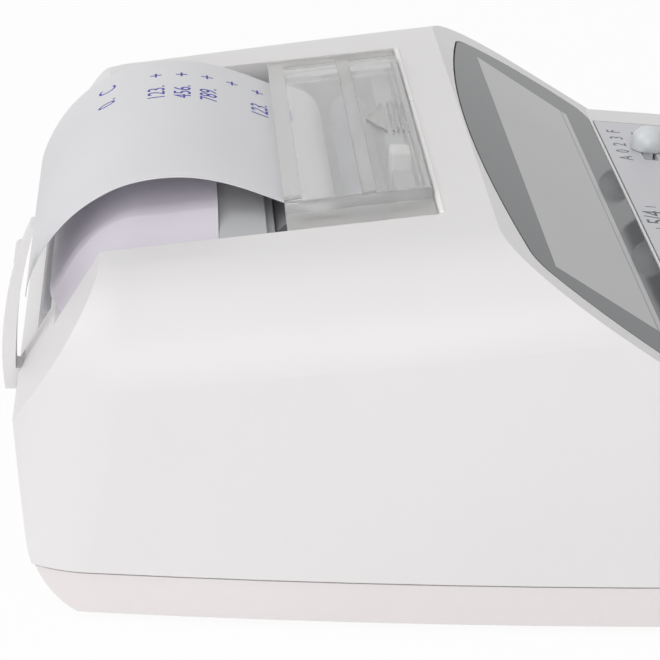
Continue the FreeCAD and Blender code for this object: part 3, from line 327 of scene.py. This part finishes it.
def skin_group():
    """Slow tone changes and fine moulding grain of a plastic, paper or painted skin"""
    group = bpy.data.node_groups.get("moulded_skin")
    if group:
        return group
    group = bpy.data.node_groups.new("moulded_skin", "ShaderNodeTree")
    face = group.interface
    for label, kind in (("Colour", "Color"), ("Shade", "Color"), ("Tone Scale", "Float"),
                        ("Grain Scale", "Float"), ("Smooth", "Float"), ("Rough", "Float")):
        face.new_socket(name=label, in_out="INPUT", socket_type="NodeSocket" + kind)
    for label, kind in (("Colour", "Color"), ("Roughness", "Float"), ("Height", "Float")):
        face.new_socket(name=label, in_out="OUTPUT", socket_type="NodeSocket" + kind)
    given = group.nodes.new("NodeGroupInput").outputs
    result = group.nodes.new("NodeGroupOutput").inputs
    place = group.nodes.new("ShaderNodeTexCoord").outputs["Object"]
    low, high = TONE_BAND
    tone = spread(group, noise(group, place, given["Tone Scale"], TONE_DETAIL), from_min=low, from_max=high)
    gloss = spread(group, tone, to_min=given["Smooth"], to_max=given["Rough"])
    group.links.new(mixed(group, tone, given["Colour"], given["Shade"]), result["Colour"])
    group.links.new(gloss, result["Roughness"])
    group.links.new(noise(group, place, given["Grain Scale"], GRAIN_DETAIL), result["Height"])
    return group


def skin_node(tree, colour, shade, smooth, rough, tone=TONE_SCALE, grain=GRAIN_SCALE):
    """Outputs of the moulded skin group"""
    skin = tree.nodes.new("ShaderNodeGroup")
    skin.node_tree = skin_group()
    for label, value in (("Colour", rgba(colour)), ("Shade", rgba(deeper(colour, shade))),
                         ("Tone Scale", tone), ("Grain Scale", grain), ("Smooth", smooth), ("Rough", rough)):
        skin.inputs[label].default_value = value
    return skin.outputs


def cleared(owner):
    """Empty node tree of a material or a world"""
    owner.use_nodes = True
    owner.node_tree.nodes.clear()
    return owner.node_tree


def blank(name):
    material = bpy.data.materials.new(name)
    tree = cleared(material)
    out = tree.nodes.new("ShaderNodeOutputMaterial")
    shader = tree.nodes.new("ShaderNodeBsdfPrincipled")
    tree.links.new(shader.outputs["BSDF"], out.inputs["Surface"])
    return material, tree, shader


def skinned(name, colour, shade, smooth=0.38, rough=0.48, bump=0.05, metal=0.0, **scales):
    """Material from the moulded skin group"""
    material, tree, shader = blank(name)
    skin = skin_node(tree, colour, shade, smooth, rough, **scales)
    relief = tree.nodes.new("ShaderNodeBump")
    relief.inputs["Strength"].default_value = bump
    relief.inputs["Distance"].default_value = GRAIN_DEPTH
    tree.links.new(skin["Colour"], shader.inputs["Base Color"])
    tree.links.new(skin["Roughness"], shader.inputs["Roughness"])
    tree.links.new(skin["Height"], relief.inputs["Height"])
    tree.links.new(relief.outputs["Normal"], shader.inputs["Normal"])
    shader.inputs["Metallic"].default_value = metal
    return material


def finish(name):
    """Material of a finish in the table"""
    values = dict(FINISHES[name])
    colour = values.pop("colour")
    if isinstance(colour, str):
        colour = getattr(colours(), colour)
    return skinned(name, colour, **values)


def dress(material, *nodes):
    """Give CAD nodes a material"""
    for node in nodes:
        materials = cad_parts[node].data.materials
        materials.clear()
        materials.append(material)


def seated(piece, material, body):
    """Give a piece its material and the body it moves with"""
    piece.data.materials.clear()
    piece.data.materials.append(material)
    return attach(piece, body)


def decal(name, text, size, place, body, target, material, align="CENTER"):
    """Flat lettering laid on the surface of a part"""
    bpy.ops.object.select_all(action="DESELECT")
    bpy.ops.object.text_add()
    words = bpy.context.object
    words.data.body = text
    words.data.size = size
    words.data.align_x = align
    words.data.align_y = "CENTER"
    words.data.resolution_u = CURVE_STEPS
    bpy.ops.object.convert(target="MESH")
    piece = bpy.context.object
    piece.name = name
    bpy.ops.object.mode_set(mode="EDIT")
    bpy.ops.mesh.select_all(action="SELECT")
    bpy.ops.mesh.remove_doubles(threshold=WELD)
    bpy.ops.mesh.subdivide(number_cuts=1)
    bpy.ops.object.mode_set(mode="OBJECT")
    piece.matrix_world = place
    bpy.ops.object.transform_apply(location=True, rotation=True, scale=True)
    seat = piece.modifiers.new("seat", "SHRINKWRAP")
    seat.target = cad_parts[target]
    seat.wrap_method = "PROJECT"
    seat.use_project_z = True
    seat.use_positive_direction = False
    seat.use_negative_direction = True
    seat.offset = FILM
    bpy.ops.object.modifier_apply(modifier="seat")
    film = piece.modifiers.new("film", "SOLIDIFY")
    film.thickness = FILM
    film.offset = -1.0
    bpy.ops.object.modifier_apply(modifier="film")
    return seated(piece, material, body)


def rounded_block(name, size, soft, middle, body, slot, material, place=Matrix()):
    """Block with soft edges, measured in mm in the frame given by place"""
    bpy.ops.object.select_all(action="DESELECT")
    bpy.ops.mesh.primitive_cube_add(size=1.0)
    piece = bpy.context.object
    piece.name = name
    bpy.ops.object.mode_set(mode="EDIT")
    bpy.ops.mesh.select_all(action="SELECT")
    bpy.ops.transform.resize(value=metres(size), center_override=(0, 0, 0))
    bpy.ops.object.mode_set(mode="OBJECT")
    edges = piece.modifiers.new("edges", "BEVEL")
    edges.width = soft * MM
    edges.segments = EDGE_STEPS
    edges.limit_method = "NONE"
    bpy.ops.object.modifier_apply(modifier="edges")
    piece.matrix_world = place @ Matrix.Translation(metres(middle))
    bpy.ops.object.transform_apply(location=True, rotation=True, scale=True)
    bpy.ops.object.shade_smooth_by_angle(angle=SMOOTH_ANGLE)
    return seated(piece, material, body)


class CALCULATOR_OT_case(bpy.types.Operator):
    """Finish the case, the base, the door, the roll arm and the jack, with the lip of the printer bay,
    coloured lighter than the case as a painted highlight
    """

    bl_idname = "calculator.case"
    bl_label = "Case"

    def execute(self, context):
        dress(finish("case_satin"), "upper_case", "roll_arm")
        dress(finish("base_satin"), "lower_case", "battery_door")
        # lip of the bay: a rounded edge bar, coloured lighter than the case as a painted highlight
        rounded_block("bay_lip", *BAY_LIP, "base", "case_white", finish("lip_white"), deck_frame())
        dress(finish("jack_black"), "adaptor_jack")
        return {"FINISHED"}


class CALCULATOR_OT_display(bpy.types.Operator):
    """Finish the display lens with its printed border and window"""

    bl_idname = "calculator.display"
    bl_label = "Display"

    def execute(self, context):
        s = sizes()
        c = colours()
        material, tree, shader = blank("display_lens")
        axes = local_axes(tree, display_frame())
        middle = 0.5 * (s.window_low + s.window_high)
        half = 0.5 * (s.window_high - s.window_low)
        across = within(tree, axes["X"], 0.0, s.window_half)
        window = reckoned(tree, "MULTIPLY", across, within(tree, axes["Y"], middle, half))
        foot = within(tree, axes["Y"], s.window_low + LINE_RISE, LINE_HALF)
        line = reckoned(tree, "MULTIPLY", across, foot)
        skin = skin_node(tree, c.window_grey, WINDOW_SHADE, smooth=0.06, rough=0.10, tone=18.0)
        face = mixed(tree, window, rgba(c.lens_grey), skin["Colour"])
        face = mixed(tree, line, face, rgba(deeper(c.window_grey, LINE_SHADE)))
        tree.links.new(face, shader.inputs["Base Color"])
        tree.links.new(skin["Roughness"], shader.inputs["Roughness"])
        shader.inputs["Specular IOR Level"].default_value = LENS_SPECULAR
        dress(material, "display_lens")
        dress(finish("lcd_back"), "lcd_panel")
        return {"FINISHED"}


class CALCULATOR_OT_keyboard(bpy.types.Operator):
    """Finish the plate, the keys and the switches, and letter them"""

    bl_idname = "calculator.keyboard"
    bl_label = "Keyboard"

    def execute(self, context):
        s = sizes()
        dress(finish("plate_silver"), "keyboard_plate")
        dress(finish("key_satin"), *KEY_LEGENDS)
        white = finish("legend_white")
        dark = finish("legend_dark")
        for node, text in KEY_LEGENDS.items():
            low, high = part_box(node)
            size = s.key_legend if len(text) < LONG_LEGEND else LONG_LEGEND_SHARE * s.key_legend
            place = Matrix.Translation((0.5 * (low.x + high.x), 0.5 * (low.y + high.y), high.z + PLATE_LIFT))
            decal("legend_" + node[len("key_"):], text, size, place, node, node, white)
        dress(finish("knob_milky"), "decimal_switch_knob", "rounding_switch_knob", "print_switch_knob")
        keys = keys_frame()
        for number, (x, tall, text) in enumerate(SCALES, 1):
            place = Matrix.Translation(keys @ Vector((x * MM, s.scale_row, PLATE_LIFT)))
            decal("scale_%d" % number, text, tall * MM, place, "base", "keyboard_plate", dark)
        dress(finish("mat_grey"), "key_mat")
        dress(finish("board_green"), "main_board")
        return {"FINISHED"}


class CALCULATOR_OT_printer(bpy.types.Operator):
    """Finish the printer and its clear cover, with the shelf under the paper and the ink roller's post"""

    bl_idname = "calculator.printer"
    bl_label = "Printer"

    def execute(self, context):
        dress(finish("frame_grey"), "printer_frame")
        shelf = finish("shelf_grey")
        rounded_block("paper_shelf", *PAPER_SHELF, "base", "guide_grey", shelf)
        rounded_block("paper_shelf_step", *SHELF_STEP, "base", "guide_grey", shelf)
        rounded_block("ink_post", *INK_POST, "base", "gear_white", finish("post_white"))
        dress(finish("platen_rubber"), "platen_roller")
        dress(finish("drum_grey"), "type_drum")
        dress(finish("ink_foam"), "ink_roller")
        dress(finish("gear_white"), "idler_gear", "motor_pinion")
        dress(finish("motor_steel"), "feed_motor")
        # the paper guide's colour is painted violet shade from the tape above it
        dress(finish("guide_satin"), "paper_guide")
        dress(self.clear_plastic(), "printer_cover")
        return {"FINISHED"}

    def clear_plastic(self):
        """Clear plastic, frosted on the raised ribs and at the sides"""
        material, tree, shader = blank("cover_clear")
        axes = local_axes(tree, deck_frame())
        ribs = within(tree, axes["Z"], RIB_MIDDLE, RIB_HALF)
        sides = reckoned(tree, "SUBTRACT", 1.0, within(tree, axes["X"], 0.0, COVER_HALF))
        frost = reckoned(tree, "MAXIMUM", ribs, sides)
        skin = skin_node(tree, COVER_TINT, COVER_SHADE, smooth=0.04, rough=0.08)
        tree.links.new(mixed(tree, frost, skin["Colour"], rgba(FROST_TINT)), shader.inputs["Base Color"])
        rough = spread(tree, frost, to_min=skin["Roughness"], to_max=FROST_ROUGH)
        tree.links.new(rough, shader.inputs["Roughness"])
        shader.inputs["IOR"].default_value = COVER_IOR
        shader.inputs["Transmission Weight"].default_value = COVER_TRANSMISSION
        return material


class CALCULATOR_OT_paper(bpy.types.Operator):
    """Finish the paper tape and print its lines"""

    bl_idname = "calculator.paper"
    bl_label = "Paper"

    def execute(self, context):
        s = sizes()
        paper = finish("tape_paper")
        tree = paper.node_tree
        through = tree.nodes.new("ShaderNodeBsdfTranslucent")
        through.inputs["Color"].default_value = rgba(colours().paper_white)
        skin = tree.nodes["Principled BSDF"].outputs["BSDF"]
        sheet = mixed_shader(tree, PAPER_THROUGH, skin, through.outputs["BSDF"])
        tree.links.new(sheet, tree.nodes["Material Output"].inputs["Surface"])
        dress(paper, "paper_tape")
        ink = finish("tape_ink")
        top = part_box("paper_tape")[1].z + TAPE_LIFT
        for number, (along, amount, sign) in enumerate(TAPE_LINES, 1):
            for name, text, x, align in (("amount", amount, s.amount_end, "RIGHT"),
                                         ("sign", sign, s.sign_place, "CENTER")):
                if text:
                    place = Matrix.Translation((x, along * MM, top))
                    decal("tape_%s_%d" % (name, number), text, s.tape_letter, place, "base", "paper_tape",
                          ink, align=align)
        return {"FINISHED"}


class CALCULATOR_OT_underside(bpy.types.Operator):
    """Finish the feet, screws, cells and contacts, with the grip of the battery door, and near black crosses
    on the screws as painted shade in their recesses
    """

    bl_idname = "calculator.underside"
    bl_label = "Underside"

    def execute(self, context):
        dress(finish("foot_rubber"), "rubber_feet")
        dress(finish("screw_zinc"), "case_screws")
        dress(finish("cell_wrap"), "battery_cells")
        dress(finish("contact_plate"), "battery_contacts")
        ridge = finish("door_ridge")
        for index in range(RIDGE_COUNT):
            middle = (0.0, RIDGE_START + RIDGE_PITCH * index, RIDGE_Z)
            rounded_block("door_ridge_%d" % (index + 1), RIDGE_SIZE, RIDGE_EDGE, middle, "battery_door",
                          "base_white", ridge)
        # near black crosses: painted shade in the screws' cross recesses
        dark = finish("cross_dark")
        for number, (x, y) in enumerate(SCREW_SPOTS, 1):
            for arm, size in CROSS_ARMS.items():
                rounded_block("screw_cross_%s_%d" % (arm, number), size, CROSS_EDGE, (x, y, CROSS_Z), "base",
                              "foot_rubber", dark)
        return {"FINISHED"}


class CALCULATOR_OT_stage(bpy.types.Operator):
    """Set up the floor, the light and the camera"""

    bl_idname = "calculator.stage"
    bl_label = "Stage"

    def execute(self, context):
        context.scene.view_settings.view_transform = "Standard"
        self.floor(context)
        self.world(context.scene)
        self.lamps(context)
        self.camera(context)
        return {"FINISHED"}

    def floor(self, context):
        """White floor that keeps the shadow, clear from below"""
        bpy.ops.object.select_all(action="DESELECT")
        bpy.ops.mesh.primitive_plane_add(size=FLOOR_SIZE)
        floor = context.object
        floor.name = "studio_floor"
        material = bpy.data.materials.new("studio_floor")
        tree = cleared(material)
        out = tree.nodes.new("ShaderNodeOutputMaterial")
        matt = tree.nodes.new("ShaderNodeBsdfDiffuse")
        matt.inputs["Color"].default_value = rgba(FLOOR_GREY)
        glow = tree.nodes.new("ShaderNodeEmission")
        side = tree.nodes.new("ShaderNodeNewGeometry")
        clear = tree.nodes.new("ShaderNodeBsdfTransparent")
        top = mixed_shader(tree, self.seen(tree, FLOOR_GLOW), matt.outputs["BSDF"], glow.outputs["Emission"])
        face = mixed_shader(tree, side.outputs["Backfacing"], top, clear.outputs["BSDF"])
        tree.links.new(face, out.inputs["Surface"])
        floor.data.materials.append(material)

    def world(self, scene):
        """White where it is seen, softer as a light"""
        scene.world = bpy.data.worlds.new("studio_world")
        tree = cleared(scene.world)
        out = tree.nodes.new("ShaderNodeOutputWorld")
        soft = tree.nodes.new("ShaderNodeBackground")
        soft.inputs["Color"].default_value = rgba(WHITE)
        soft.inputs["Strength"].default_value = WORLD_LEVEL
        white = tree.nodes.new("ShaderNodeBackground")
        white.inputs["Color"].default_value = rgba(WHITE)
        seen = self.seen(tree, 1.0)
        sky = mixed_shader(tree, seen, soft.outputs["Background"], white.outputs["Background"])
        tree.links.new(sky, out.inputs["Surface"])

    def lamps(self, context):
        for name, (spot, size, power) in LAMPS.items():
            bpy.ops.object.light_add(type="AREA", location=spot)
            lamp = context.object
            lamp.name = name
            lamp.data.size = size
            lamp.data.energy = power
            lamp.rotation_euler = (Vector(LAMP_AIM) - Vector(spot)).to_track_quat("-Z", "Y").to_euler()

    def camera(self, context):
        bpy.ops.object.camera_add()
        camera = context.object
        camera.name = "photo_camera"
        flat = math.cos(CAMERA_RISE)
        back = Vector((-flat * math.cos(CAMERA_TURN), flat * math.sin(CAMERA_TURN), math.sin(CAMERA_RISE)))
        right = (-back).cross(Vector((0, 0, 1))).normalized()
        up = right.cross(-back).normalized()
        side = right * math.cos(CAMERA_ROLL) + up * math.sin(CAMERA_ROLL)
        over = up * math.cos(CAMERA_ROLL) - right * math.sin(CAMERA_ROLL)
        turn = Matrix((side, over, back)).transposed()
        camera.matrix_world = Matrix.Translation(CAMERA_SPOT) @ turn.to_4x4()
        camera.data.sensor_width = SENSOR_WIDTH
        camera.data.lens = CAMERA_FOCAL * SENSOR_WIDTH
        camera.data.clip_start = CLIP_START
        context.scene.camera = camera

    def seen(self, tree, share):
        """The share, for rays that show the background to the camera or in gloss and glass"""
        path = tree.nodes.new("ShaderNodeLightPath").outputs
        shown = reckoned(tree, "MAXIMUM", path["Is Camera Ray"], path["Is Glossy Ray"])
        shown = reckoned(tree, "MAXIMUM", shown, path["Is Transmission Ray"])
        return reckoned(tree, "MULTIPLY", shown, share)


class CALCULATOR_PT_sidebar(bpy.types.Panel):
    """Pieces, sizes and colours of the calculator"""

    bl_idname = "CALCULATOR_PT_sidebar"
    bl_label = "Calculator"
    bl_space_type = "VIEW_3D"
    bl_region_type = "UI"
    bl_category = "Calculator"

    def draw(self, context):
        layout = self.layout
        for operator in OPERATORS:
            layout.operator(operator.bl_idname)
        for group in (context.scene.calculator_sizes, context.scene.calculator_colours):
            for name in group.__annotations__:
                layout.prop(group, name)


OPERATORS = (CALCULATOR_OT_case, CALCULATOR_OT_display, CALCULATOR_OT_keyboard, CALCULATOR_OT_printer,
             CALCULATOR_OT_paper, CALCULATOR_OT_underside, CALCULATOR_OT_stage)
CLASSES = (CalculatorSizes, CalculatorColours) + OPERATORS + (CALCULATOR_PT_sidebar,)


def register():
    for cls in CLASSES:
        bpy.utils.register_class(cls)
    bpy.types.Scene.calculator_sizes = PointerProperty(type=CalculatorSizes)
    bpy.types.Scene.calculator_colours = PointerProperty(type=CalculatorColours)


def unregister():
    del bpy.types.Scene.calculator_colours
    del bpy.types.Scene.calculator_sizes
    for cls in reversed(CLASSES):
        bpy.utils.unregister_class(cls)


def main():
    register()
    bpy.ops.calculator.case()
    bpy.ops.calculator.display()
    bpy.ops.calculator.keyboard()
    bpy.ops.calculator.printer()
    bpy.ops.calculator.paper()
    bpy.ops.calculator.underside()
    bpy.ops.calculator.stage()


if __name__ == "__main__":
    main()
